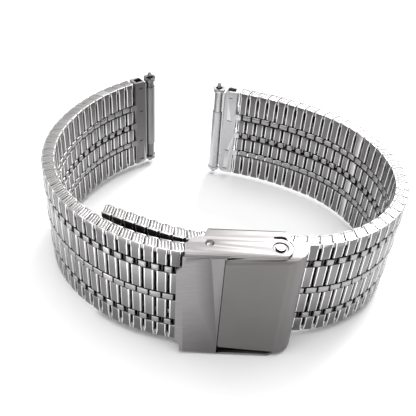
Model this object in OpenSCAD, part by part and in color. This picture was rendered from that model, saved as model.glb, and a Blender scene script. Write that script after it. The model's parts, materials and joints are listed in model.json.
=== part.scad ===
// Wrist watch band of folded metal links and beads, closed by a folding sliding clasp.
// Millimetres, Z up. The band stands on its side edge, as a buckled band is laid down.
// The origin is under the middle of the closed loop, on the plane that it stands on.
// The clasp's outer face looks along -Y, the two ends for the watch case are at +Y.

/* [Band] */
// Width of the band, the distance between the watch lugs
band_w = 20; // [18:0.5:22]
// Thickness of the folded rows
band_t = 2.2; // [2:0.05:2.4]
// Distance from one row to the next
pitch = 2; // [1.95:0.01:2.05]
// Length of a row along the band
bar_l = 1.6; // [1.5:0.02:1.64]
// Corner radius of a row
bar_r = 0.28; // [0.26:0.02:0.5]
// How far each side of a row spreads at the side edges
flare = 0.11; // [0:0.01:0.12]
// Height over which a row spreads
flare_h = 1.5; // [1:0.1:2]
// Depth of the fold lines in the side edges of a row
fold_depth = 0.8; // [0.4:0.1:1]
// Width of the fold lines
fold_gap = 0.12; // [0.08:0.01:0.14]

/* [Beads and pins] */
// Radius of the cross pins
pin_r = 0.2; // [0.16:0.01:0.21]
// Clearance round a pin that turns
pin_fit = 0.05; // [0.03:0.01:0.07]
// Length of a bead along the band
bead_l = 1.62; // [1.5:0.02:1.66]
// Length of a bead that is open to the wrist side
bead_l_in = 1.7; // [1.6:0.02:1.74]
// How far a bead stands out on the outer side
bead_out = 0.1; // [0.04:0.02:0.14]
// How far a bead stands out on the wrist side
bead_in = 0.05; // [0.02:0.01:0.1]
// Corner radius of a bead
bead_r = 0.38; // [0.3:0.02:0.4]
// Height of a bead's place in a row
bead_h = 1.6; // [1.5:0.05:1.7]
// Gap between the tongue of a row and the row before it
tongue_gap = 0.07; // [0.06:0.01:0.1]
// Clearance at the ends of a bead
bead_gap = 0.15; // [0.08:0.01:0.2]
// Gap between the middle bead and the rib of the row beside it
rib_gap = 0.09; // [0.08:0.01:0.12]
// Depth of the rib
rib_d = 0.6; // [0.4:0.05:0.6]

/* [Curve of the closed loop] */
// Bend at the hook, degrees
bend_hook = 8; // [7:0.5:9]
// Bend a row in the near part of the left half, degrees
bend_left_a = 4; // [3.6:0.1:4.4]
// Bend a row in the middle part of the left half, degrees
bend_left_b = 5; // [4.6:0.1:5.2]
// Bend a row in the far part of the left half, degrees
bend_left_c = 3.75; // [3.4:0.05:4]
// Bend a row beside the nose of the clasp, degrees
bend_right_a = 5.7; // [5.2:0.1:6]
// Bend a row in the middle part of the right half, degrees
bend_right_b = 6.7; // [6.4:0.1:7]
// Bend a row in the upper part of the right half, degrees
bend_right_c = 4.9; // [4.5:0.1:5.2]
// Bend a row beside the right end, degrees
bend_right_d = 2.2; // [1.8:0.1:2.6]

/* [Clasp] */
// Thickness of the cover's arms
arm_t = 0.6; // [0.5:0.05:0.7]
// Thickness of the side walls of the lock plate and the base
wall_t = 0.35; // [0.3:0.05:0.4]
// Thickness of the outer plates
plate_t = 0.45; // [0.4:0.01:0.5]
// Play between two layers of the clasp
play = 0.08; // [0.06:0.01:0.1]
// Radius of the hinge pin
hinge_r = 0.5; // [0.4:0.02:0.55]
// Radius of the head at each end of the hinge pin
head_r = 0.75; // [0.7:0.05:0.85]
// Radius of the bar that the hook holds
catch_r = 0.5; // [0.4:0.02:0.52]
// Clearance round the hinge pin and the bar
hinge_fit = 0.05; // [0.03:0.01:0.08]
// Depth of the mid plane of the held rows behind the outer face
held_d = 5.45; // [5.35:0.05:5.6]
// Gap between the held rows and the floor of the base
floor_gap = 0.25; // [0.15:0.05:0.4]
// Length of the teeth on the nose of the lock plate
tooth = 0.4; // [0.3:0.02:0.44]

/* [Ends for the watch case] */
// Outer radius of the tube for the spring bar
tube_r = 0.9; // [0.88:0.01:0.95]
// Bore radius of the tube
tube_bore = 0.7; // [0.68:0.01:0.74]
// Radius of the collars at the ends of the tube
collar_r = 1.25; // [1.15:0.05:1.35]
// Outer radius of the sliding sleeve
sleeve_r = 1.1; // [1.06:0.02:1.16]
// How far the sliding sleeve can slide
sleeve_travel = 4.8; // [4:0.2:6]
// Height of a collar
collar_h = 0.6; // [0.5:0.05:0.8]
// Distance from the last row's corner to the tube
tube_x = 4.45; // [4.2:0.05:4.7]
// Length of the end plate from the last row's corner
end_l = 3.1; // [2.9:0.1:3.1]
// Corner radius of the end plate beside the tube
end_r = 1.1; // [0.8:0.1:1.2]
// Length of the marks punched in the end plate
mark_l = 1.1; // [0.8:0.1:1.2]
// Thickness of the web that carries the tube
web_t = 0.6; // [0.5:0.05:0.66]
// Radius of the spring bar's tips
tip_r = 0.4; // [0.35:0.01:0.42]
// How far a tip stands out past the band
tip_out = 0.9; // [0.7:0.05:1.2]

/* [Hidden] */
$fn = 32;
eps = 0.01;

// Clasp layers, counted from the outside of each side inwards
lay_plate = arm_t + play;
lay_base = lay_plate + wall_t + play;
lay_band = lay_base + wall_t + play + 0.01;
clasp_h = band_w + 2 * lay_band;

// Clasp places, x along the clasp from the hinge pin, d inwards from the outer face
hinge_d = 1.97;
head_h = 0.3;
catch_x = 10.2;
catch_d = 2.6;
seam_x = 7.85;
base_x = 11;
base_end = 1.91;
plate_edge = 0.6;
nose_r = 3.55;
nose_x = 4.45;
valley_x = 4.4;
held_len = 16;
held_rows = round(held_len / pitch);
row_top = band_t / 2;
base_d = held_d + row_top + bead_in + floor_gap + wall_t;
rib_w = pitch - bead_l - 2 * rib_gap;
stem_r = tip_r - 0.16;
sleeve_h = band_w - 2 * collar_h - sleeve_travel;
sleeve_low = collar_h;
sleeve_mid = collar_h + sleeve_travel * 0.7;

// Bends, one for each corner between two rows
left_rows = 32;
right_rows = 34;
tail_rows = 8;
function left_bend(k) = k == 0 ? bend_hook : k < 11 ? bend_left_a
    : k < 22 ? bend_left_b : bend_left_c;
function right_bend(k) = k < 8 ? bend_right_a : k < 16 ? bend_right_b
    : k < 26 ? bend_right_c : bend_right_d;
function tail_bend(k) = [8, 7, 5, 2, 1, 0, 0, 1][k];

function dir(h) = [cos(h), sin(h)];

// Corners of a half, each with the heading of the row after it and the heading before it
function corners(start, bends) = [
    for (k = 0, c = start, h0 = 0, h = bends[0]; k < len(bends);
        c = c + pitch * dir(h), h0 = h, k = k + 1, h = h + (k < len(bends) ? bends[k] : 0))
        [c.x, c.y, h, h0]];

left_c = corners([13.87, 2.85], [for (k = [0:left_rows]) left_bend(k)]);
right_c = corners([valley_x, held_d], [for (k = [0:right_rows]) right_bend(k)]);
tail_c = corners([held_rows * pitch - valley_x, held_d],
    [for (k = [0:tail_rows - 1]) tail_bend(k)]);

// Extents of the loop give the origin. The reach of a bead is that of its round corners
function mean_turn(q) = (q[2] + q[3]) / 2;
function bead_reach(c) = max([for (q = c, s = [-1, 1]) q.x + bead_r
    + s * cos(mean_turn(q)) * (bead_l / 2 - bead_r)
    + sin(mean_turn(q)) * (row_top + bead_out - bead_r)]);
function tube_y(c) = c.y + tube_x * sin(c[2]) + collar_r;
reach_left = bead_reach(left_c);
reach_right = bead_reach(right_c);
reach_back = max(tube_y(left_c[left_rows]), tube_y(right_c[right_rows]));
mid_x = (reach_right - reach_left) / 2;
mid_y = reach_back / 2;

// A rectangle with round corners, made of squares and circles
module round_rect(x0, x1, y0, y1, r) {
    translate([x0 + r, y0]) square([x1 - x0 - 2 * r, y1 - y0]);
    translate([x0, y0 + r]) square([x1 - x0, y1 - y0 - 2 * r]);
    for (x = [x0 + r, x1 - r], y = [y0 + r, y1 - r]) translate([x, y]) circle(r);
}

// Heights of the zones of a row: outer beads from za, inner beads from zb, middle bead from zd
za = band_w / 5 - bead_h / 2;
zb = za + bead_h;
zc = zb + bead_h;
zd = (band_w - bead_h) / 2;

module both_edges() {
    children();
    translate([0, 0, band_w]) mirror([0, 0, 1]) children();
}

module fold_lines() {
    for (x = [-0.28, 0, 0.28])
        translate([x * bar_l, 0, fold_depth / 2 - 0.5]) rotate(-12)
            cube([fold_gap, band_t * 0.68, fold_depth + 1], center = true);
}

module slab(x0, x1, y0, y1, z0, z1, r) {
    translate([0, 0, z0]) linear_extrude(z1 - z0) round_rect(x0, x1, y0, y1, r);
}

// A slab with round corners on one side only, at y1
module half_slab(x0, x1, y0, y1, z0, z1, r) {
    s = sign(y1 - y0);
    translate([0, 0, z0]) linear_extrude(z1 - z0) {
        translate([x0, min(y0, y1 - s * r)]) square([x1 - x0, abs(y1 - y0) - r]);
        translate([x0 + r, min(y0, y1)]) square([x1 - x0 - 2 * r, abs(y1 - y0)]);
        for (x = [x0 + r, x1 - r]) translate([x, y1 - s * r]) circle(r);
    }
}

// Outline of a row seen from outside: it spreads towards the side edge
module flare_plan() {
    h = bar_l / 2;
    polygon([[-h - flare, -1], [-h - flare, 0], [-h, flare_h], [-h, za + 1],
        [h, za + 1], [h, flare_h], [h + flare, 0], [h + flare, -1]]);
}

// One folded row, its middle at the origin, inner side towards +y
module row_bars(tongues) {
    h = bar_l / 2;
    t = row_top;
    both_edges() {
        difference() {
            intersection() {
                slab(-h - flare, h + flare, -t, t, 0, za, bar_r);
                translate([0, t + 1, 0]) rotate([90, 0, 0])
                    linear_extrude(2 * t + 2) flare_plan();
            }
            fold_lines();
        }
        half_slab(-h, h, t / 2, t, za - eps, zb, bar_r / 2);
        half_slab(-h, h, -t / 2, -t, zb, zc + eps, bar_r / 2);
        slab(-h, h, -t, t, zc, zd, bar_r);
        if (tongues) {
            tongue(flare_h, za);
            tongue(zc, zd);
        }
    }
    translate([-rib_w / 2, -rib_d / 2, zd - eps])
        cube([rib_w, rib_d, band_w - 2 * zd + 2 * eps]);
}

// A narrow tongue closes the gap to the row before it
module tongue(z0, z1) {
    x1 = pitch - bar_l - tongue_gap;
    translate([-bar_l / 2 - x1, -pin_r, z0]) cube([x1 + eps, 2 * pin_r, z1 - z0]);
}

module row_pins() {
    for (x = [-pitch / 4, pitch / 4])
        translate([x, 0, 1]) cylinder(r = pin_r, h = band_w - 2);
}

// The beads that bridge two rows, their middle at the origin
module beads() {
    h = bead_l / 2;
    hi = bead_l_in / 2;
    t = row_top;
    w = 0.38 * t;
    both_edges() {
        half_slab(-h, h, w, -t - bead_out, za + bead_gap, zb - bead_gap, bead_r);
        half_slab(-hi, hi, -w, t + bead_in, zb + bead_gap, zc - bead_gap, bead_r);
    }
    slab(-h, h, -t - bead_out, t + bead_in, zd + bead_gap, band_w - zd - bead_gap, bead_r);
}

module at_row(c) {
    translate([c.x, c.y, lay_band]) rotate(c[2]) translate([pitch / 2, 0, 0]) children();
}

module row(c, tongues = true) {
    at_row(c) {
        row_bars(tongues);
        row_pins();
    }
}

// Beads at a corner, with or without bores for the pin before them
module corner_beads(c, free) {
    a = [c.x, c.y] - pitch / 4 * dir(c[3]);
    b = [c.x, c.y] + pitch / 4 * dir(c[2]);
    difference() {
        translate([(a.x + b.x) / 2, (a.y + b.y) / 2, lay_band]) rotate((c[2] + c[3]) / 2)
            beads();
        if (free) translate([a.x, a.y, lay_band])
            cylinder(r = pin_r + pin_fit, h = band_w);
    }
}

// Two rows and their beads are one moving piece
module link_pair(c, g) {
    corner_beads(c[2 * g], true);
    corner_beads(c[2 * g + 1], false);
    row(c[2 * g]);
    row(c[2 * g + 1]);
}

// Places in the clasp frame, then in the part's frame
module in_place() {
    translate([-mid_x, -mid_y, 0]) children();
}

module left_side() {
    in_place() mirror([1, 0, 0]) children();
}

module left_group(g) {
    color("silver") left_side() link_pair(left_c, g);
}

module right_group(g) {
    color("silver") in_place() link_pair(right_c, g);
}

module tail_group(g) {
    color("silver") left_side() link_pair(tail_c, g);
}

// The rows inside the closed clasp, one straight piece while the clasp holds them
module held_links() {
    color("silver") in_place() {
        for (k = [0:held_rows - 1]) {
            c = [valley_x - (k + 1) * pitch, held_d, 0, 0];
            row(c, k < held_rows - 1);
            if (k > 0) corner_beads([c.x + pitch, c.y, 0, 0], false);
        }
    }
}

// Profile across the clasp, swept along it
module along(x0, x1) {
    translate([x0, 0, 0]) rotate([90, 0, 90]) linear_extrude(x1 - x0) children();
}

module upright(z0, z1) {
    translate([0, 0, z0]) linear_extrude(z1 - z0) children();
}

module both_sides() {
    children();
    translate([0, 0, clasp_h]) mirror([0, 0, 1]) children();
}

// Channel of sheet metal that the band slides through
module clasp_base() {
    color("gray") in_place() difference() {
        intersection() {
            along(-base_x, base_end) difference() {
                round_rect(-2, base_d, lay_base, clasp_h - lay_base, 0.8);
                round_rect(-3, base_d - wall_t, lay_base + wall_t,
                    clasp_h - lay_base - wall_t, 0.45);
            }
            upright(0, clasp_h) polygon([
                [-base_x, 1.6], [-8.7, 1.6], [-8.35, 2.1], [-7.6, 2.1], [-1, 0.9], [0.9, 0.9],
                [base_end, 1.7], [base_end, held_d - 0.3], [base_end - 0.96, base_d + 1],
                [1.1 - base_x, base_d + 1], [-base_x, held_d - 0.3]]);
        }
        translate([0, hinge_d, 0]) cylinder(r = hinge_r + eps, h = clasp_h);
        translate([-catch_x, catch_d, 0]) cylinder(r = catch_r + eps, h = clasp_h);
        for (x = [-8.1, -5.2, -2.3])
            translate([x, base_d - 1, clasp_h / 2 - 6.5]) cube([1.6, 2, 13]);
        stop_slot();
    }
}

// Bar across the base that the hook holds
module catch_bar() {
    color("gray") in_place() translate([-catch_x, catch_d, lay_base + 0.02])
        cylinder(r = catch_r, h = clasp_h - 2 * lay_base - 0.04);
}

// Hinge pin with a flat head at each end
module hinge_pin() {
    color("gray") in_place() translate([0, hinge_d, 0]) {
        cylinder(r = hinge_r, h = clasp_h);
        both_sides() cylinder(r = head_r, h = head_h);
    }
}

module nose_plan(t) {
    translate([-seam_x - 2, t]) square([seam_x + 2 + nose_x - nose_r + eps, nose_r - t + 1.5]);
    intersection() {
        translate([nose_x - nose_r, nose_r]) circle(nose_r - t);
        translate([nose_x - nose_r, t]) square([nose_r, nose_r - t]);
    }
    translate([nose_x - nose_r, nose_r - eps]) square([nose_r - t, 1.5]);
}

// Slot beside the arm's round end, through the walls of the lock plate and the base
module stop_slot() {
    both_sides() translate([0, hinge_d, 0]) linear_extrude(lay_band - eps)
        polygon([[-0.6, 1.66], [-0.55, 1.95], [0.4, 2.05], [1, 1.85], [1.35, 1.3], [0.8, 1.4]]);
}

// Rocking plate whose toothed nose bites between two rows of the band
module lock_plate() {
    z1 = lay_plate;
    teeth = [[flare_h + 0.2, za - 0.1], [zb + 0.1, zd - 0.1]];
    color("gray") in_place() difference() {
        union() {
            difference() {
                intersection() {
                    along(-seam_x - 1, 5) round_rect(0, 9, z1, clasp_h - z1, 1);
                    upright(0, clasp_h) intersection() {
                        nose_plan(0);
                        polygon([[-seam_x, -1], [5, -1], [5, 4.15], [-0.9, 4.15],
                            [-1.8, 3.5], [-2.8, plate_edge], [-seam_x, plate_edge]]);
                    }
                }
                intersection() {
                    along(-seam_x - 2, 5)
                        round_rect(plate_t, 12, z1 + wall_t, clasp_h - z1 - wall_t, 0.6);
                    upright(0, clasp_h) nose_plan(plate_t);
                }
            }
            translate([0, 0, lay_band]) both_edges() for (q = teeth)
                translate([nose_x - 0.23, 4.05, q[0]]) cube([0.23, 0.1 + tooth, q[1] - q[0]]);
        }
        translate([0, hinge_d, 0]) cylinder(r = hinge_r + hinge_fit, h = clasp_h);
        stop_slot();
    }
}

// Outline of an arm, with a round corner beside the cross strip and a round end
module arm_plan() {
    translate([-11.35, 1.6]) circle(2.2);
    translate([-13.55, 0]) square([2.2, 1.6]);
    polygon([[-11.4, 0], [-11.4, 3.8], [0, 3.82], [0, 0.12], [-6.9, 0.12], [-7.7, 0]]);
    translate([0, hinge_d]) circle(1.85);
}

// Fold-over cover, a cross strip with an arm along each side
module safety_cover() {
    z1 = arm_t;
    color("gray") in_place() difference() {
        union() {
            intersection() {
                along(-13.55, 2) difference() {
                    round_rect(0, 9, 0, clasp_h, 0.5);
                    translate([plate_t, z1]) square([12, clasp_h - 2 * z1]);
                }
                upright(0, clasp_h) arm_plan();
            }
            rotate([90, 0, 0]) translate([0, 0, -plate_t]) linear_extrude(plate_t)
                polygon([[-13.4, 0.35], [-14, 0.35], [-14, 2.24], [-14.8, 3.3],
                    [-14.8, clasp_h - 3.6], [-14, clasp_h - 2.9], [-14, clasp_h - 0.35],
                    [-13.4, clasp_h - 0.35]]);
            both_sides() translate([-catch_x, catch_d - 0.2, z1 - eps])
                cylinder(r1 = 0.6, r2 = 0.3, h = lay_base - z1 - 0.05);
        }
        translate([-seam_x - 0.1, -1, z1]) cube([12, 3, clasp_h - 2 * z1]);
        both_sides() translate([0, hinge_d, -eps]) {
            cylinder(r = hinge_r + hinge_fit, h = z1 + 1);
            cylinder(r = head_r + hinge_fit, h = head_h + 0.03 + eps);
            cylinder(r1 = head_r + 0.43, r2 = head_r + 0.33, h = 0.16 + eps);
        }
        both_sides() translate([-catch_x, catch_d - 0.2, -eps])
            cylinder(r1 = 0.7, r2 = 0.4, h = 0.32);
        translate([-10, 0.05, clasp_h - 0.75]) rotate([90, 0, 0]) cylinder(r = 0.16, h = 0.1);
    }
}

// First link of the left half, with a hook that is open towards the wrist
module hook_link() {
    c = left_c[0];
    color("gray") left_side() {
        row([c.x - pitch, c.y, 0, 0]);
        upright(lay_band + 0.7, clasp_h - lay_band - 0.7) {
            difference() {
                union() {
                    translate([catch_x, catch_d]) circle(1.02);
                    translate([catch_x + 0.7, catch_d - 0.45]) square([1.5, 0.9]);
                }
                translate([catch_x, catch_d]) circle(catch_r + hinge_fit);
                translate([catch_x - catch_r - hinge_fit, catch_d])
                    square([2 * (catch_r + hinge_fit), 2]);
            }
        }
    }
}

// Frame of an end: its origin at the last corner, x towards the watch case
module at_end(c) {
    translate([c.x, c.y, lay_band]) rotate(c[2]) children();
}

// What a round corner of the end plate leaves out
module corner_cut() {
    translate([end_l - end_r, -2, -1]) difference() {
        cube([end_r + 1, 4, end_r + 1]);
        translate([0, -1, end_r + 1]) rotate([-90, 0, 0]) cylinder(r = end_r, h = 6);
    }
}

module punched_mark() {
    h = mark_l / 2;
    rotate([90, 0, 0]) linear_extrude(0.5)
        polygon([[-h, 0], [-h / 2, 0.14], [0, 0.18], [h / 2, 0.14], [h, 0], [h / 2, -0.1],
            [-h / 2, -0.1]]);
}

module end_link(c) {
    t = row_top;
    corner_beads(c, true);
    at_end(c) difference() {
        union() {
            difference() {
                slab(pitch / 10, end_l, -t, t, 0, band_w, bar_r);
                translate([0.9, -0.62 * t, -1]) cube([1.65, 1.24 * t, band_w + 2]);
                both_edges() corner_cut();
            }
            translate([pitch / 4, 0, 1]) cylinder(r = pin_r, h = band_w - 2);
            translate([end_l - 0.2, -web_t / 2, end_r])
                cube([tube_x - end_l + 0.2, web_t, band_w - 2 * end_r]);
            translate([tube_x, 0, 0]) cylinder(r = tube_r, h = band_w);
            both_edges() translate([tube_x, 0, 0]) cylinder(r = collar_r, h = collar_h);
        }
        translate([tube_x, 0, -1]) cylinder(r = tube_bore, h = band_w + 2);
        for (z = [0.07, 0.34, 0.71, 0.95])
            translate([1.7, t + 0.3, band_w * (1 - z)]) punched_mark();
    }
}

// Thin split sleeve that slides on the tube between its collars
module sleeve(c, z0) {
    at_end(c) translate([tube_x, 0, z0]) difference() {
        cylinder(r = sleeve_r, h = sleeve_h);
        translate([0, 0, -1]) cylinder(r = tube_r + 0.04, h = sleeve_h + 2);
        translate([-3, -web_t / 2 - 0.15, -1]) cube([3, web_t + 0.3, sleeve_h + 2]);
    }
}

// Spring bar: a barrel crimped at both ends, two tips and a coil between them
module bar_barrel(c) {
    at_end(c) translate([tube_x, 0, 0]) difference() {
        translate([0, 0, 0.8]) cylinder(r = tube_bore - 0.05, h = band_w - 1.6);
        translate([0, 0, 1.15]) cylinder(r = tip_r + 0.1, h = band_w - 2.3);
        translate([0, 0, 0]) cylinder(r = tip_r + 0.04, h = band_w);
    }
}

module plunger() {
    translate([0, 0, -tip_out]) cylinder(r = tip_r, h = tip_out);
    translate([0, 0, -eps]) cylinder(r = stem_r, h = 1.3);
    translate([0, 0, 1.2]) cylinder(r = tip_r + 0.07, h = 0.9);
}

module plunger_low(c) {
    at_end(c) translate([tube_x, 0, 0]) plunger();
}

module plunger_high(c) {
    at_end(c) translate([tube_x, 0, band_w]) mirror([0, 0, 1]) plunger();
}

// Points of the coil: a ring of points for each step along the wire
module coil(mr, wr, turns, z0, z1) {
    ring = 4;
    steps = turns * 8;
    pts = [for (i = [0:steps], j = [0:ring - 1])
        let (a = i * 360 * turns / steps, b = j * 360 / ring, r = mr + wr * cos(b))
        [r * cos(a), r * sin(a), z0 + (z1 - z0) * i / steps + wr * sin(b)]];
    faces = concat(
        [for (i = [0:steps - 1], j = [0:ring - 1]) let (k = (j + 1) % ring)
            [i * ring + j, i * ring + k, (i + 1) * ring + k]],
        [for (i = [0:steps - 1], j = [0:ring - 1]) let (k = (j + 1) % ring)
            [i * ring + j, (i + 1) * ring + k, (i + 1) * ring + j]],
        [[for (j = [ring - 1:-1:0]) j]],
        [[for (j = [0:ring - 1]) steps * ring + j]]);
    polyhedron(points = pts, faces = faces);
}

module bar_spring(c) {
    at_end(c) translate([tube_x, 0, 0]) coil(tip_r - 0.06, 0.09, 11, 2.25, band_w - 2.25);
}

module left_part() {
    color("gray") left_side() children();
}

module right_part() {
    color("gray") in_place() children();
}

le = left_c[left_rows];
re = right_c[right_rows];

clasp_base();
catch_bar();
hinge_pin();
lock_plate();
safety_cover();
hook_link();
held_links();
tail_group(0);  // tail_1
tail_group(1);  // tail_2
tail_group(2);  // tail_3
tail_group(3);  // tail_4
left_group(0);  // left_01
left_group(1);  // left_02
left_group(2);  // left_03
left_group(3);  // left_04
left_group(4);  // left_05
left_group(5);  // left_06
left_group(6);  // left_07
left_group(7);  // left_08
left_group(8);  // left_09
left_group(9);  // left_10
left_group(10);  // left_11
left_group(11);  // left_12
left_group(12);  // left_13
left_group(13);  // left_14
left_group(14);  // left_15
left_group(15);  // left_16
right_group(0);  // right_01
right_group(1);  // right_02
right_group(2);  // right_03
right_group(3);  // right_04
right_group(4);  // right_05
right_group(5);  // right_06
right_group(6);  // right_07
right_group(7);  // right_08
right_group(8);  // right_09
right_group(9);  // right_10
right_group(10);  // right_11
right_group(11);  // right_12
right_group(12);  // right_13
right_group(13);  // right_14
right_group(14);  // right_15
right_group(15);  // right_16
right_group(16);  // right_17
left_part() end_link(le);  // left_end_link
left_part() sleeve(le, sleeve_mid);  // left_sleeve
left_part() bar_barrel(le);  // left_bar_barrel
left_part() plunger_low(le);  // left_plunger_low
left_part() plunger_high(le);  // left_plunger_high
left_part() bar_spring(le);  // left_bar_spring
right_part() end_link(re);  // right_end_link
right_part() sleeve(re, sleeve_low);  // right_sleeve
right_part() bar_barrel(re);  // right_bar_barrel
right_part() plunger_low(re);  // right_plunger_low
right_part() plunger_high(re);  // right_plunger_high
right_part() bar_spring(re);  // right_bar_spring
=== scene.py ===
"""Closed watch band of folded metal links with a fold-over clasp, on a pale floor."""
import json
import math

import bmesh
import bpy
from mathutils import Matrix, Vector


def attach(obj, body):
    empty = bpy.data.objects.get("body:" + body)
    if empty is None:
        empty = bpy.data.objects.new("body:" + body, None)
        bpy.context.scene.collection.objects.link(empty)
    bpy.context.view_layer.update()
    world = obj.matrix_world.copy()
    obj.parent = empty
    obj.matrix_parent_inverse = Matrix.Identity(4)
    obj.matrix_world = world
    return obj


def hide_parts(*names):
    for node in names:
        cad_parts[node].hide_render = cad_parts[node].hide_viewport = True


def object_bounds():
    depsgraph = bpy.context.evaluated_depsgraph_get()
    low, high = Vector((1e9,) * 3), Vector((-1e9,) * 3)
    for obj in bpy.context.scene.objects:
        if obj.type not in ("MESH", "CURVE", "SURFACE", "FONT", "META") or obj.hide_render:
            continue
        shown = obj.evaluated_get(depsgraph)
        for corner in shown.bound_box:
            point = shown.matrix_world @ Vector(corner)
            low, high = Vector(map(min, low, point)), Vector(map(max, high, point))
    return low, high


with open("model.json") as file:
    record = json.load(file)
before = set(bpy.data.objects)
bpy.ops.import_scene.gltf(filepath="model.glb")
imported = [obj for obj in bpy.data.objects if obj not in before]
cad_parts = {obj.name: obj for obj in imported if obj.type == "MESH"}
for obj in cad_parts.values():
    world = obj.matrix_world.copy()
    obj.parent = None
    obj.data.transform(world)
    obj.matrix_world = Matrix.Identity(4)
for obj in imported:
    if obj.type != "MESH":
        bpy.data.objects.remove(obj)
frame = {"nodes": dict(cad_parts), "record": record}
cad_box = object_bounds()

MM = 0.001

# Sizes of the part in millimetres, as in the CAD
W, T = 20.0, 2.2  # width and thickness of the band
PITCH, BAR = 2.0, 1.65  # distance between rows, and length of a row along the band
LAY = 1.55  # from the side edge of the clasp to the band
CLASP_H = W + 2 * LAY
VALLEY, HELD_D, HELD_ROWS = 4.4, 5.45, 8  # right end, depth and count of the held rows
BEAD_L, BEAD_R, BEAD_OUT = 1.62, 0.38, 0.1
TUBE_X, COLLAR_R = 4.45, 1.25
HOOK_START = (13.87, 2.85)
HINGE_D, SEAM_X = 1.97, 7.85


# Route of the band: a corner between two rows is (place, heading after, heading before)

def unit(h):
    return Vector((math.cos(math.radians(h)), math.sin(math.radians(h))))


def corners(start, bends):
    out = []
    c, before, h = Vector(start), 0.0, bends[0]
    for k in range(len(bends)):
        out.append((c.copy(), h, before))
        c = c + PITCH * unit(h)
        before = h
        if k + 1 < len(bends):
            h += bends[k + 1]
    return out


LEFT = corners(HOOK_START, [8] + [4] * 10 + [5] * 11 + [3.75] * 11)
RIGHT = corners((VALLEY, HELD_D), [5.7] * 8 + [6.7] * 8 + [4.9] * 10 + [2.2] * 9)
TAIL = corners((HELD_ROWS * PITCH - VALLEY, HELD_D), [8, 7, 5, 2, 1, 0, 0, 1])


def bead_reach(route):
    """How far the beads of a half reach to the side."""
    best = -1e9
    for c, h, before in route:
        m = math.radians((h + before) / 2)
        for s in (-1, 1):
            best = max(best, c.x + BEAD_R + s * math.cos(m) * (BEAD_L / 2 - BEAD_R)
                       + math.sin(m) * (T / 2 + BEAD_OUT - BEAD_R))
    return best


def tube_top(corner):
    return corner[0].y + TUBE_X * math.sin(math.radians(corner[1])) + COLLAR_R


MID_X = (bead_reach(RIGHT) - bead_reach(LEFT)) / 2
MID_Y = max(tube_top(LEFT[-1]), tube_top(RIGHT[-1])) / 2


def put(p, h, left, q):
    """A local point q of a piece at p with heading h, in the part's frame in metres."""
    u = unit(h)
    x = p.x + q[0] * u.x - q[1] * u.y
    y = p.y + q[0] * u.y + q[1] * u.x
    if left:
        x = -x
    return ((x - MID_X) * MM, (y - MID_Y) * MM, (q[2] + LAY) * MM)


def clasp_place(co):
    """A point in metres as x from the hinge pin and depth from the clasp's outer face."""
    return co.x / MM + MID_X, co.y / MM + MID_Y


# Slots for the materials of the rows, in the order of BAND_SET and of the held rows' set; the
# second slot is painted shade, the fourth a painted highlight along round edges, the fifth a
# fold painted dark as shade
INNER, PAINTED_SHADE, BEAD, HIGHLIGHT_STRIP, FOLDED, OUTER, LEAF = range(7)


# Small mesh builder

class Build:
    def __init__(self):
        self.verts, self.faces, self.mats = [], [], []

    def rings(self, rings, mat=INNER, highlight_strips=()):
        """Loft through rings of points, with caps at both ends and strips of painted highlight
        along the edges.
        """
        base, n = len(self.verts), len(rings[0])
        for ring in rings:
            self.verts.extend(ring)
        for i in range(len(rings) - 1):
            for j in range(n):
                k = (j + 1) % n
                a, b = base + i * n, base + (i + 1) * n
                self.faces.append((a + j, a + k, b + k, b + j))
                self.mats.append(HIGHLIGHT_STRIP if j in highlight_strips else mat)
        last = base + (len(rings) - 1) * n
        self.faces.append(tuple(base + j for j in reversed(range(n))))
        self.faces.append(tuple(last + j for j in range(n)))
        self.mats.extend((mat, mat))

    def add(self, other, move, flip):
        """Add a copy of another build, moved by a function of a point."""
        base = len(self.verts)
        self.verts.extend(move(v) for v in other.verts)
        for f, m in zip(other.faces, other.mats):
            f = tuple(base + i for i in f)
            self.faces.append(f[::-1] if flip else f)
            self.mats.append(m)

    def add_both(self, half):
        """Add a half of the band's width and its mirror image."""
        self.add(half, lambda v: v, False)
        self.add(half, lambda v: (v[0], v[1], W - v[2]), True)

    def mesh(self, name, materials, angle=38):
        me = bpy.data.meshes.new(name)
        me.from_pydata(self.verts, [], self.faces)
        for m in materials:
            me.materials.append(m)
        me.polygons.foreach_set("material_index", self.mats)
        me.polygons.foreach_set("use_smooth", [True] * len(self.faces))
        me.set_sharp_from_angle(angle=math.radians(angle))
        me.update()
        obj = bpy.data.objects.new(name, me)
        bpy.context.collection.objects.link(obj)
        return obj


def round_rect(xs, ys, r, n, turn=0.0):
    """Outline of a rectangle with round corners, turned about its middle."""
    (x0, x1), (y0, y1) = xs, ys
    pts = []
    for cx, cy, a0 in ((x1 - r, y1 - r, 0), (x0 + r, y1 - r, 90),
                       (x0 + r, y0 + r, 180), (x1 - r, y0 + r, 270)):
        for i in range(n + 1):
            a = math.radians(a0 + 90 * i / n)
            pts.append((cx + r * math.cos(a), cy + r * math.sin(a)))
    if turn:
        mx, my = (x0 + x1) / 2, (y0 + y1) / 2
        c, s = math.cos(math.radians(turn)), math.sin(math.radians(turn))
        pts = [(mx + (x - mx) * c - (y - my) * s, my + (x - mx) * s + (y - my) * c)
               for x, y in pts]
    return pts


def block(b, xs, ys, zs, r, e, mat=INNER, n=1, steps=2, turn=0.0):
    """Upright block with corners of radius r and ends rounded by e."""
    z0, z1 = zs
    levels = []
    for i in range(steps):
        a = math.radians(90 * i / (steps - 1))
        levels.append((z0 + e * (1 - math.cos(a)), e * (1 - math.sin(a))))
    levels += [(z0 + z1 - z, inset) for z, inset in reversed(levels)]
    b.rings([[(x, y, z) for x, y in round_rect((xs[0] + i, xs[1] - i), (ys[0] + i, ys[1] - i),
                                               max(r - i, 0.02), n, turn)]
             for z, i in levels], mat)


def rod(b, x, y, r, zs, mat, n=12):
    ring = [(x + r * math.cos(2 * math.pi * j / n), y + r * math.sin(2 * math.pi * j / n))
            for j in range(n)]
    b.rings([[(px, py, z) for px, py in ring] for z in zs], mat)


# One folded row and one set of beads, built once and copied along the band

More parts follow.
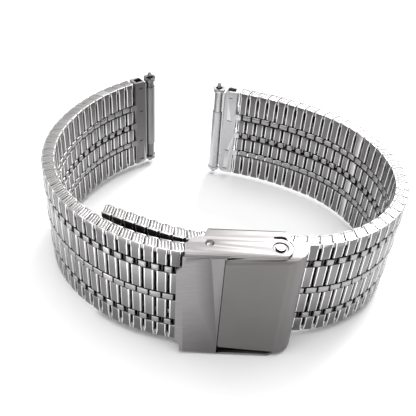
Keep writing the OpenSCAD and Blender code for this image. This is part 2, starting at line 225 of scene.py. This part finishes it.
BEAD_H = 1.6
ZA = W / 5 - BEAD_H / 2  # borders of the columns across the band, from its side edge
ZB, ZC, ZD = ZA + BEAD_H, ZA + 2 * BEAD_H, (W - BEAD_H) / 2
FLARE_OUT, FLARE_IN, FLARE_H = 0.05, 0.06, 1.5  # spread towards the side edges
BAR_OUT = 1.74
CORE = 0.55  # half the thickness between the skins
EDGE_SKIN, SKIN_R, SKIN_INSET = 0.24, 0.28, 0.07
BEAD_GAP, BEAD_SIDE, BEAD_MIDDLE, BEAD_WRIST = 0.24, 1.28, 1.84, 1.78
BEAD_DEEP, BEAD_PROUD = 0.42, 0.05
LEAF_TURN, LEAF_STEP, LEAF_W = -17, 0.5, 0.35
LAST_ROW = 0.91  # share of the far half of a run's last row, which leaves room to turn


def row_width(z, y):
    """Half the length of a row along the band, which spreads towards the side edges."""
    half, spread = (BAR_OUT / 2, FLARE_OUT) if y < 0 else (BAR / 2, FLARE_IN)
    return half + spread * max(0.0, 1 - min(z, W - z) / FLARE_H)


def half_profile(x, y0, y1, r, n=4):
    """Outline of a skin: square towards the core at y0, round corners at y1."""
    s = 1 if y1 > y0 else -1
    lip = 0.03  # narrow strip beside each round corner
    pts = [(-x, y0), (x, y0), (x, y1 - s * (r + lip))]
    for cx, a0 in ((x - r, 0), (r - x, 90)):
        for i in range(n + 1):
            a = math.radians(a0 + 90 * i / n)
            pts.append((cx + r * math.cos(a), y1 - s * r + s * r * math.sin(a)))
        if a0 == 0:
            pts += [(x - r - lip, y1), (r - x + lip, y1)]
    pts.append((-x, y1 - s * (r + lip)))
    return pts if s > 0 else pts[::-1]


def skin(b, y0, y1, z0, z1, edge, mat):
    """Outer or inner skin of a row from z0 to z1, thin at the side edge of the band."""
    s = 1 if y1 > y0 else -1
    # height, inset, and whether the skin reaches down to the core
    levels = [(z0, SKIN_INSET, not edge), (z0 + 0.03, 0.3 * SKIN_INSET, not edge),
              (z0 + 0.1, 0.0, not edge)]
    if edge:
        levels += [(0.85, 0.0, False), (0.9, 0.0, True), (FLARE_H, 0.0, True)]
    levels += [(z1 - 0.1, 0.0, True), (z1 - 0.03, 0.3 * SKIN_INSET, True),
               (z1, SKIN_INSET, True)]
    rings = []
    for z, inset, deep in levels:
        inner = y0 if deep else y1 - s * EDGE_SKIN
        r = SKIN_R if deep else min(SKIN_R, EDGE_SKIN - 0.03)
        ring = half_profile(row_width(z, y1) - inset, inner, y1 - s * inset,
                            max(r - inset, 0.03))
        rings.append([(x, y, z) for x, y in ring])
    # the strips beside each round corner take the painted highlight
    b.rings(rings, mat, (5, 6, 9, 10) if s > 0 else (4, 5, 8, 9))


def side_leaves(b, t):
    """Folded leaves in the side edge of a row, joined at alternate ends, on a shallow bed."""
    for i in range(4):
        x = LEAF_STEP * (i - 1.5)
        block(b, (x - LEAF_W / 2, x + LEAF_W / 2), (-t + 0.2, t - 0.2), (0.02, 1.0),
              0.08, 0.06, LEAF, n=2, steps=3, turn=LEAF_TURN)
        if i < 3:
            y = (t - 0.36) * (1 if i % 2 else -1)
            mid = x + LEAF_STEP / 2 - y * math.tan(math.radians(LEAF_TURN))
            block(b, (mid - 0.2, mid + 0.2), (y - 0.13, y + 0.13), (0.05, 0.6),
                  0.05, 0.05, LEAF, steps=3)
    block(b, (-BAR / 2 + 0.08, BAR / 2 - 0.08), (-t + 0.26, t - 0.26), (0.1, 0.7),
          0.05, 0.02, LEAF)


def make_row():
    b, half = Build(), Build()
    h, t, lap = BAR / 2, T / 2, PITCH - BAR
    skin(half, -CORE, -t, 0.0, ZA, True, OUTER)
    skin(half, CORE, t, 0.0, ZB, True, INNER)
    skin(half, -CORE, -t, ZB, ZD, False, OUTER)
    skin(half, CORE, t, ZC, ZD, False, INNER)
    side_leaves(half, t)
    # cores, with the tongues that lap into the next row on each side, painted dark as shade
    for z0, z1 in ((0.75, ZA - 0.06), (ZC + 0.06, ZD - 0.06)):
        block(half, (-h + 0.04, h - 0.04), (-CORE - 0.02, CORE + 0.02), (z0, z1),
              0.1, 0.03, PAINTED_SHADE)
        block(half, (-h - lap + 0.05, -h + 0.2), (-0.34, -0.05), (z0 - 0.1, z1),
              0.06, 0.03, PAINTED_SHADE)
        block(half, (h - 0.2, h + lap - 0.05), (0.05, 0.34), (z0 - 0.1, z1),
              0.06, 0.03, PAINTED_SHADE)
    # fold of the row, seen between two outer beads, painted dark as shade in its recess
    block(half, (-0.12, 0.12), (-0.8, -0.5), (ZA + 0.05, ZB - 0.05), 0.04, 0.03, FOLDED)
    # backs of the half bars behind the beads, painted dark as shade
    block(half, (-h + 0.03, h - 0.03), (0.46, CORE + 0.03), (ZA - 0.02, ZB - 0.05),
          0.03, 0.02, PAINTED_SHADE)
    block(half, (-h + 0.03, h - 0.03), (-CORE - 0.03, -0.46), (ZB + 0.05, ZC + 0.02),
          0.03, 0.02, PAINTED_SHADE)
    b.add_both(half)
    # middle block and pins of the row, painted dark as shade
    block(b, (-0.1, 0.1), (-0.3, 0.3), (ZD - 0.1, W - ZD + 0.1), 0.03, 0.02, PAINTED_SHADE)
    for x in (-PITCH / 4, PITCH / 4):
        rod(b, x, 0, 0.2, (1.0, W - 1.0), PAINTED_SHADE)
    return b


def make_beads():
    b, half = Build(), Build()
    t, g = T / 2, BEAD_GAP
    side, wrist, middle = ((-w / 2, w / 2) for w in (BEAD_SIDE, BEAD_WRIST, BEAD_MIDDLE))
    front = (-t - BEAD_OUT, BEAD_DEEP)
    mid_z = (ZD + g, W - ZD - g)
    block(half, side, front, (ZA + g, ZB - g), 0.26, 0.12, BEAD, n=3, steps=4)
    block(half, wrist, (-BEAD_DEEP, t + BEAD_PROUD), (ZB + g, ZC - g), 0.3, 0.26, BEAD,
          n=4, steps=5)
    b.add_both(half)
    block(b, middle, front, mid_z, 0.22, 0.12, BEAD, n=3, steps=4)
    block(b, side, (0.2, t + BEAD_PROUD), mid_z, 0.3, 0.26, BEAD, n=4, steps=5)
    return b


ROW = make_row()
BEADS = make_beads()


def add_row(b, c, h, left, far=1.0):
    p = c + PITCH / 2 * unit(h)
    b.add(ROW, lambda q: put(p, h, left, (q[0] * (far if q[0] > 0 else 1.0), q[1], q[2])), left)


def add_beads(b, corner, left):
    c, h, before = corner
    a, z = c - PITCH / 4 * unit(before), c + PITCH / 4 * unit(h)
    b.add(BEADS, lambda q: put((a + z) / 2, (h + before) / 2, left, q), left)


# Materials

def new_material(name):
    m = bpy.data.materials.new(name)
    m.use_nodes = True
    m.node_tree.nodes.clear()
    return m, m.node_tree


def node(tree, kind, inputs=None, **settings):
    """New node, with each input set to a value or linked to a socket."""
    n = tree.nodes.new(kind)
    for k, v in settings.items():
        setattr(n, k, v)
    for k, v in (inputs or {}).items():
        if isinstance(v, bpy.types.NodeSocket):
            tree.links.new(v, n.inputs[k])
        else:
            n.inputs[k].default_value = v
    return n


def noise(tree, vector, scale, detail):
    return node(tree, "ShaderNodeTexNoise",
                {"Vector": vector, "Scale": scale, "Detail": detail}).outputs["Fac"]


def map_range(tree, value, low, high, to_low, to_high):
    return node(tree, "ShaderNodeMapRange",
                {"Value": value, "From Min": low, "From Max": high,
                 "To Min": to_low, "To Max": to_high}).outputs[0]


def math_node(tree, operation, a, b):
    return node(tree, "ShaderNodeMath", {0: a, 1: b}, operation=operation).outputs[0]


def mix_colors(tree, factor, a, b):
    return node(tree, "ShaderNodeMix", {0: factor, 6: a, 7: b}, data_type="RGBA").outputs[2]


def steel(name, color, rough, spread, grain, strength, edge_wear_and_sheen=0.12, painted_sheen=None):
    """Brushed or polished steel: stretched grain, soft blotches, and edges painted lighter,
    partly wear and partly a painted highlight.

    An optional range of x in millimetres gives a painted sheen: over it the streaks are painted
    lighter towards its first end.
    """
    m, tree = new_material(name)
    place_on = node(tree, "ShaderNodeTexCoord").outputs["Object"]
    stretched = node(tree, "ShaderNodeMapping", {"Vector": place_on, "Scale": grain})
    fine = noise(tree, stretched.outputs[0], 1.0, 3.0)
    blotch = noise(tree, place_on, 240.0, 2.0)
    both = node(tree, "ShaderNodeMix", {0: 0.4, 2: fine, 3: blotch},
                data_type="FLOAT").outputs[0]
    ramp = node(tree, "ShaderNodeValToRGB", {0: both})
    for i, (at, k) in enumerate(((0.3, 1 - spread), (0.7, 1 + spread))):
        ramp.color_ramp.elements[i].position = at
        ramp.color_ramp.elements[i].color = (*(min(c * k, 1.0) for c in color), 1)
    base = ramp.outputs[0]
    # painted sheen: the streaks are painted lighter towards the first end of the range
    if painted_sheen:
        x = node(tree, "ShaderNodeSeparateXYZ", {0: place_on}).outputs[0]
        sheen_slope = map_range(tree, x, painted_sheen[0] * MM, painted_sheen[1] * MM, 1.0, 0.0)
        streaks = map_range(tree, fine, 0.38, 0.62, 0.35, 1.0)
        base = mix_colors(tree, math_node(tree, "MULTIPLY", sheen_slope, streaks), base,
                          (0.24, 0.235, 0.24, 1))
    # edges painted lighter: partly wear, partly a painted highlight
    pointed = node(tree, "ShaderNodeNewGeometry").outputs["Pointiness"]
    edges = map_range(tree, pointed, 0.52, 0.6, 0.0, edge_wear_and_sheen)
    bump = node(tree, "ShaderNodeBump",
                {"Strength": strength, "Distance": 0.00003, "Height": fine})
    bsdf = node(tree, "ShaderNodeBsdfPrincipled", {
        "Base Color": mix_colors(tree, edges, base, (0.9, 0.89, 0.88, 1)),
        "Metallic": 1.0,
        "Roughness": map_range(tree, both, 0.3, 0.7, rough - 0.06, rough + 0.06),
        "Normal": bump.outputs[0]})
    node(tree, "ShaderNodeOutputMaterial", {0: bsdf.outputs[0]})
    return m


ALONG_Z, ALONG_X, EVEN = (9000, 9000, 700), (500, 9000, 9000), (3000, 3000, 3000)
BAND = steel("band_steel", (0.15, 0.146, 0.146), 0.34, 0.08, ALONG_Z, 0.25, 0.5)
# the beads are painted lighter than the band, a painted highlight; their polish is the lower
# roughness
BEAD_SHEEN = steel("bead_steel_painted_sheen", (0.222, 0.217, 0.219), 0.26, 0.06, EVEN, 0.15, 0.4)
CLASP = steel("clasp_steel", (0.159, 0.151, 0.15), 0.38, 0.07, ALONG_X, 0.35)
# the cover's cross strip gets a painted sheen, lighter towards its end away from the hinge
COVER = steel("cover_steel", (0.159, 0.151, 0.151), 0.38, 0.07, ALONG_X, 0.35,
              painted_sheen=(-15.2 - MID_X, -9.5 - MID_X))
# painted shade: near-black steel where shade falls, in gaps, recesses and inside the clasp
SHADE = steel("shaded_steel", (0.025, 0.024, 0.024), 0.5, 0.1, EVEN, 0.1, 0.0)
# painted highlight along the round edges of the rows
PAINTED_HIGHLIGHT = steel("painted_highlight_steel", (0.92, 0.91, 0.92), 0.3, 0.05, ALONG_Z, 0.1, 0.0)
# the fold of each row, painted dark as shade in its recess
FOLD_SHADE = steel("fold_steel_painted_shade", (0.06, 0.058, 0.058), 0.4, 0.1, EVEN, 0.1, 0.0)
# one steel for both end links, as painted lit and shaded copies: the left darker, the right
# lighter
END_SHADED = steel("end_steel_painted_shade", (0.138, 0.134, 0.135), 0.32, 0.08, (2600, 2600, 900),
              0.3, 0.4)
END_LIT = steel("end_steel_painted_light", (0.45, 0.445, 0.455), 0.3, 0.04, (2600, 2600, 900),
              0.4, 0.4)
PIN = steel("pin_steel", (0.21, 0.207, 0.204), 0.2, 0.04, (4000, 4000, 4000), 0.1)
SPRING = steel("spring_steel", (0.126, 0.123, 0.123), 0.35, 0.06, (4000, 4000, 4000), 0.1)
# the held rows inside the clasp take painted shade on their beads, edge strips and outer skins
BAND_SET = [BAND, SHADE, BEAD_SHEEN, PAINTED_HIGHLIGHT, FOLD_SHADE, BAND, BAND]
HELD_SHADE_SET = [BAND, SHADE, SHADE, SHADE, FOLD_SHADE, SHADE, BAND]


# Band pieces

def place(obj, body, replaced):
    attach(obj, body)
    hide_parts(replaced)


def make_pairs(prefix, route, count, left, digits):
    """Nodes of two rows each, with the beads before each row."""
    for g in range(count):
        name = prefix + "_" + str(g + 1).zfill(digits)
        b = Build()
        for k in (2 * g, 2 * g + 1):
            add_row(b, *route[k][:2], left, LAST_ROW if k == 2 * count - 1 else 1.0)
            add_beads(b, route[k], left)
        place(b.mesh(name + "_rows", BAND_SET), "body_" + name, name)


def make_held():
    """Straight rows in the clasp, with beads, edge strips and outer skins painted dark as shade,
    on a dark liner of painted shade, and a dark sheet of painted shade below each slot.
    """
    b = Build()
    # a dark liner between the held rows, painted shade
    shade_liner = Build()
    block(shade_liner, (0, PITCH), (-0.05, 0.05), (1.0, W - 1.0), 0.02, 0.02, PAINTED_SHADE)
    for k in range(HELD_ROWS):
        c = Vector((VALLEY - (k + 1) * PITCH, HELD_D))
        add_row(b, c, 0, False)
        if k > 0:
            add_beads(b, (c + Vector((PITCH, 0)), 0, 0), False)
        b.add(shade_liner, lambda q: put(c, 0, False, q), False)
    # dark sheets below the slots, painted shade
    shade_sheets = Build()
    for z in (-0.05, W + 0.02):
        block(shade_sheets, (-0.9, 1.6), (2.6, 6.2), (z, z + 0.03), 0.05, 0.005, PAINTED_SHADE)
    b.add(shade_sheets, lambda q: put(Vector((0, 0)), 0, False, q), False)
    place(b.mesh("held_rows", HELD_SHADE_SET), "clasp", "held_links")


# Form edits on the finer copies of CAD nodes

LEAN, LEAN_X, LEAN_D, LEAN_Z = 0.8, -2.9, 1.2, 2.2
BEND_R = 0.5  # of the cover in the CAD
WALL_REACH, WALL_DEPTH = 1.25, 0.33


def lean_in(me):
    """The rolled edges of the lock plate drop back towards the seam."""
    for v in me.vertices:
        x, d = clasp_place(v.co)
        along = min(max((LEAN_X - x) / (SEAM_X + LEAN_X), 0.0), 1.0)
        side = 1 if v.co.z > CLASP_H / 2 * MM else -1
        if d < LEAN_D and abs(v.co.z - CLASP_H / 2 * MM) > (CLASP_H / 2 - LEAN_Z) * MM:
            v.co.z -= side * MM * (LEAN * along)


def round_bend(me):
    """A bend of twice the radius between the cross strip and the arms of the cover."""
    for v in me.vertices:
        x, d = clasp_place(v.co)
        up = v.co.z > CLASP_H / 2 * MM
        z = CLASP_H - v.co.z / MM if up else v.co.z / MM
        k = min(max((-7.0 - x) / 0.8, 0.0), 1.0)
        on_bend = abs(math.hypot(d - BEND_R, z - BEND_R) - BEND_R) < 0.03
        if on_bend and d < BEND_R + 0.01 and z < BEND_R + 0.01:
            d, z = d * (1 + k), z * (1 + k)
        elif abs(z - 0.35) < 0.02 and x < -13.3:
            # corner of the tab at the far end of the strip
            z = 1.0
        else:
            continue
        v.co.y = (d - MID_Y) * MM
        v.co.z = (CLASP_H - z if up else z) * MM


def raise_head(me):
    """The upper head of the hinge pin stands a little proud."""
    top = max(v.co.z for v in me.vertices)
    for v in me.vertices:
        if v.co.z > top - 0.00001:
            v.co.z += 0.00014


def paint_shade_on_walls(me):
    """Painted shade: the near-black second material on the walls round the hinge pin near the
    clasp's side edges.
    """
    for f in me.polygons:
        x, d = clasp_place(f.center)
        edge = min(f.center.z / MM, CLASP_H - f.center.z / MM)
        near = math.hypot(x, d - HINGE_D) < WALL_REACH and edge < WALL_DEPTH
        if near and abs(f.normal.z) < 0.8:
            f.material_index = 1


def keep_flat(me, area=0.6):
    """Sharp borders round the large faces, so that their shading stays flat."""
    sharp = me.attributes.get("sharp_edge") or me.attributes.new("sharp_edge", "BOOLEAN", "EDGE")
    for f in me.polygons:
        if f.area > area * MM * MM:
            for i in f.loop_indices:
                sharp.data[me.loops[i].edge_index].value = True


# Outline of the slot beside the round end of an arm, as x and depth from the hinge pin
SLOT_PLAN = [(-0.6, 1.9), (-0.6, 3.45), (0.6, 3.6), (1.2, 3.4), (1.45, 2.6), (1.7, 2.0),
             (1.95, 1.5), (2.08, 0.98), (2.05, 0.44), (1.88, -0.07), (1.57, -0.52),
             (1.42, -0.4), (1.69, 0.01), (1.83, 0.48), (1.85, 0.96), (1.75, 1.44),
             (1.52, 1.87), (1.2, 2.2), (0.4, 1.95)]
SLOT_DEPTH = 1.5


def make_cutter():
    b = Build()
    for z0, z1 in ((-1.0, SLOT_DEPTH), (CLASP_H - SLOT_DEPTH, CLASP_H + 1.0)):
        b.rings([[((x - MID_X) * MM, (d + HINGE_D - MID_Y) * MM, z * MM)
                  for x, d in reversed(SLOT_PLAN)] for z in (z0, z1)])
    return b.mesh("slot_cutter", [])


FORM_EDITS = {"lock_plate": lean_in, "safety_cover": round_bend, "hinge_pin": raise_head}


def dress(name, material, width, cutter=None, angle=35):
    """A finer copy of a CAD node, with its sharp edges rounded."""
    me = frame["nodes"][name].data.copy()
    me.materials.clear()
    me.materials.append(material)
    bm = bmesh.new()
    bm.from_mesh(me)
    bmesh.ops.remove_doubles(bm, verts=bm.verts, dist=1e-6)
    bmesh.ops.dissolve_limit(bm, angle_limit=math.radians(2), verts=bm.verts, edges=bm.edges)
    bm.to_mesh(me)
    bm.free()
    if name in FORM_EDITS:
        FORM_EDITS[name](me)
    # painted shade on the walls round the hinge pin
    if name in ("hinge_pin", "safety_cover"):
        me.materials.append(SHADE)
        paint_shade_on_walls(me)
    me.polygons.foreach_set("use_smooth", [True] * len(me.polygons))
    me.set_sharp_from_angle(angle=math.radians(angle))
    obj = bpy.data.objects.new(name + "_form", me)
    bpy.context.collection.objects.link(obj)
    if cutter:
        cut = obj.modifiers.new("slot", "BOOLEAN")
        cut.operation = "DIFFERENCE"
        cut.solver = "EXACT"
        cut.object = cutter
    bevel = obj.modifiers.new("round", "BEVEL")
    bevel.width = width * MM
    bevel.segments = 3
    bevel.limit_method = "ANGLE"
    bevel.angle_limit = math.radians(angle)
    # the slot and the rounding are fixed in the mesh
    deps = bpy.context.evaluated_depsgraph_get()
    done = bpy.data.meshes.new_from_object(obj.evaluated_get(deps))
    obj.modifiers.clear()
    obj.data = done
    done.polygons.foreach_set("use_smooth", [True] * len(done.polygons))
    done.set_sharp_from_angle(angle=math.radians(50))
    keep_flat(done)
    flat = obj.modifiers.new("flat_faces", "WEIGHTED_NORMAL")
    flat.keep_sharp = True
    flat.weight = 100
    return obj


# Clasp and ends

def body_of(name):
    for body, nodes in frame["record"]["behaviour"]["bodies"].items():
        if name in nodes:
            return body
    return "clasp"


def make_clasp():
    cutter = make_cutter()
    for name, mat, width, slot in (("clasp_base", CLASP, 0.08, "brushed_clasp"),
                                   ("lock_plate", CLASP, 0.1, "brushed_clasp"),
                                   ("safety_cover", COVER, 0.08, "brushed_clasp"),
                                   ("hook_link", CLASP, 0.06, "brushed_clasp"),
                                   ("hinge_pin", PIN, 0.08, "polished_parts")):
        cut = cutter if name in ("clasp_base", "lock_plate") else None
        place(dress(name, mat, width, cut), body_of(name), name)
    bpy.data.objects.remove(cutter)


def make_ends():
    # the right end painted lighter and the left darker, as painted light and shade
    for side, mat in (("left", END_SHADED), ("right", END_LIT)):
        for kind, width in (("_end_link", 0.07), ("_sleeve", 0.03)):
            name = side + kind
            place(dress(name, mat, width), body_of(name), name)


def dress_cad():
    """Materials for the CAD nodes that stay."""
    for name, obj in frame["nodes"].items():
        mat = CLASP
        if "spring" in name:
            mat = SPRING
        elif "plunger" in name or "bar" in name or "pin" in name:
            mat = PIN
        obj.data.materials.clear()
        obj.data.materials.append(mat)


# Stage, light and camera

def sees_background(tree):
    """1 for the camera, glossy and transmission rays, which see the pale background."""
    path = node(tree, "ShaderNodeLightPath").outputs
    either = math_node(tree, "MAXIMUM", path["Is Camera Ray"], path["Is Glossy Ray"])
    return math_node(tree, "MAXIMUM", either, path["Is Transmission Ray"])


def make_stage():
    me = bpy.data.meshes.new("floor")
    s = 3.0
    me.from_pydata([(-s, -s, 0), (s, -s, 0), (s, s, 0), (-s, s, 0)], [], [(0, 1, 2, 3)])
    floor = bpy.data.objects.new("floor", me)
    floor.location.z = cad_box[0][2] - 0.00002
    bpy.context.collection.objects.link(floor)
    m, tree = new_material("floor_white")
    color = mix_colors(tree, sees_background(tree), (0.30, 0.285, 0.28, 1),
                       (0.96, 0.96, 0.96, 1))
    bsdf = node(tree, "ShaderNodeBsdfDiffuse", {0: color})
    node(tree, "ShaderNodeOutputMaterial", {0: bsdf.outputs[0]})
    me.materials.append(m)


def make_world():
    world = bpy.data.worlds.new("studio")
    bpy.context.scene.world = world
    world.use_nodes = True
    tree = world.node_tree
    tree.nodes.clear()
    color = mix_colors(tree, sees_background(tree), (0.35, 0.35, 0.36, 1), (1, 1, 1, 1))
    back = node(tree, "ShaderNodeBackground", {0: color})
    node(tree, "ShaderNodeOutputWorld", {0: back.outputs[0]})


def area(name, at, to, size, radiance, color=(1, 1, 1)):
    data = bpy.data.lights.new(name, "AREA")
    data.shape = "RECTANGLE"
    data.size, data.size_y = size
    data.energy = radiance * math.pi * size[0] * size[1]
    data.color = color
    obj = bpy.data.objects.new(name, data)
    obj.location = at
    obj.rotation_euler = (Vector(to) - Vector(at)).to_track_quat("-Z", "Y").to_euler()
    obj.visible_camera = False
    bpy.context.collection.objects.link(obj)


def make_lights():
    area("key_back", (0.17, 0.31, 0.34), (0.01, 0, 0.01), (0.22, 0.22), 14)
    area("fill_left", (-0.36, -0.16, 0.12), (-0.01, 0, 0.01), (0.22, 0.22), 3.8)
    area("top_soft", (-0.02, -0.02, 0.75), (0, -0.02, 0), (0.7, 0.7), 3.3)
    area("card_inside", (0.008, 0.004, 0.0002), (0.008, 0.004, 1.0), (0.028, 0.03), 0.12)
    area("card_front", (-0.042, -0.060, 0.0002), (-0.042, -0.060, 1.0), (0.05, 0.05), 1.2,
         (0.96, 0.97, 1.0))


# The camera as fitted to the photo: angles, focal length in pixels, picture width, distance
PITCH_DOWN, ROLL, TURN = 40.45, 4.19, 2.4
FOCAL_PX, PICTURE_PX, CAMERA_AWAY = 614.7, 416, 0.127


def make_camera():
    pitch, roll, turn = (math.radians(a) for a in (PITCH_DOWN, ROLL, TURN))
    fw = Vector((math.cos(pitch) * math.sin(turn), math.cos(pitch) * math.cos(turn),
                 -math.sin(pitch)))
    r0 = Vector((math.cos(turn), -math.sin(turn), 0))
    u0 = r0.cross(fw)
    right = r0 * math.cos(roll) + u0 * math.sin(roll)
    up = -r0 * math.sin(roll) + u0 * math.cos(roll)
    target = Vector((-9.45 - MID_X, 35.30 - MID_Y, 1.55)) * MM
    cam = bpy.data.cameras.new("camera")
    cam.sensor_width = 36
    cam.lens = 36 * FOCAL_PX / PICTURE_PX
    cam.clip_start = 0.002
    cam.clip_end = 20
    obj = bpy.data.objects.new("camera", cam)
    m = obj.matrix_world.copy()
    for i in range(3):
        m[i][0], m[i][1], m[i][2] = right[i], up[i], -fw[i]
    m.translation = target - fw * CAMERA_AWAY
    obj.matrix_world = m
    bpy.context.collection.objects.link(obj)
    bpy.context.scene.camera = obj


make_camera()
dress_cad()
make_held()
make_pairs("tail", TAIL, 4, True, 1)
make_pairs("left", LEFT, 16, True, 2)
make_pairs("right", RIGHT, 17, False, 2)
make_clasp()
make_ends()
make_stage()
make_world()
make_lights()
bpy.context.scene.view_settings.view_transform = "Standard"
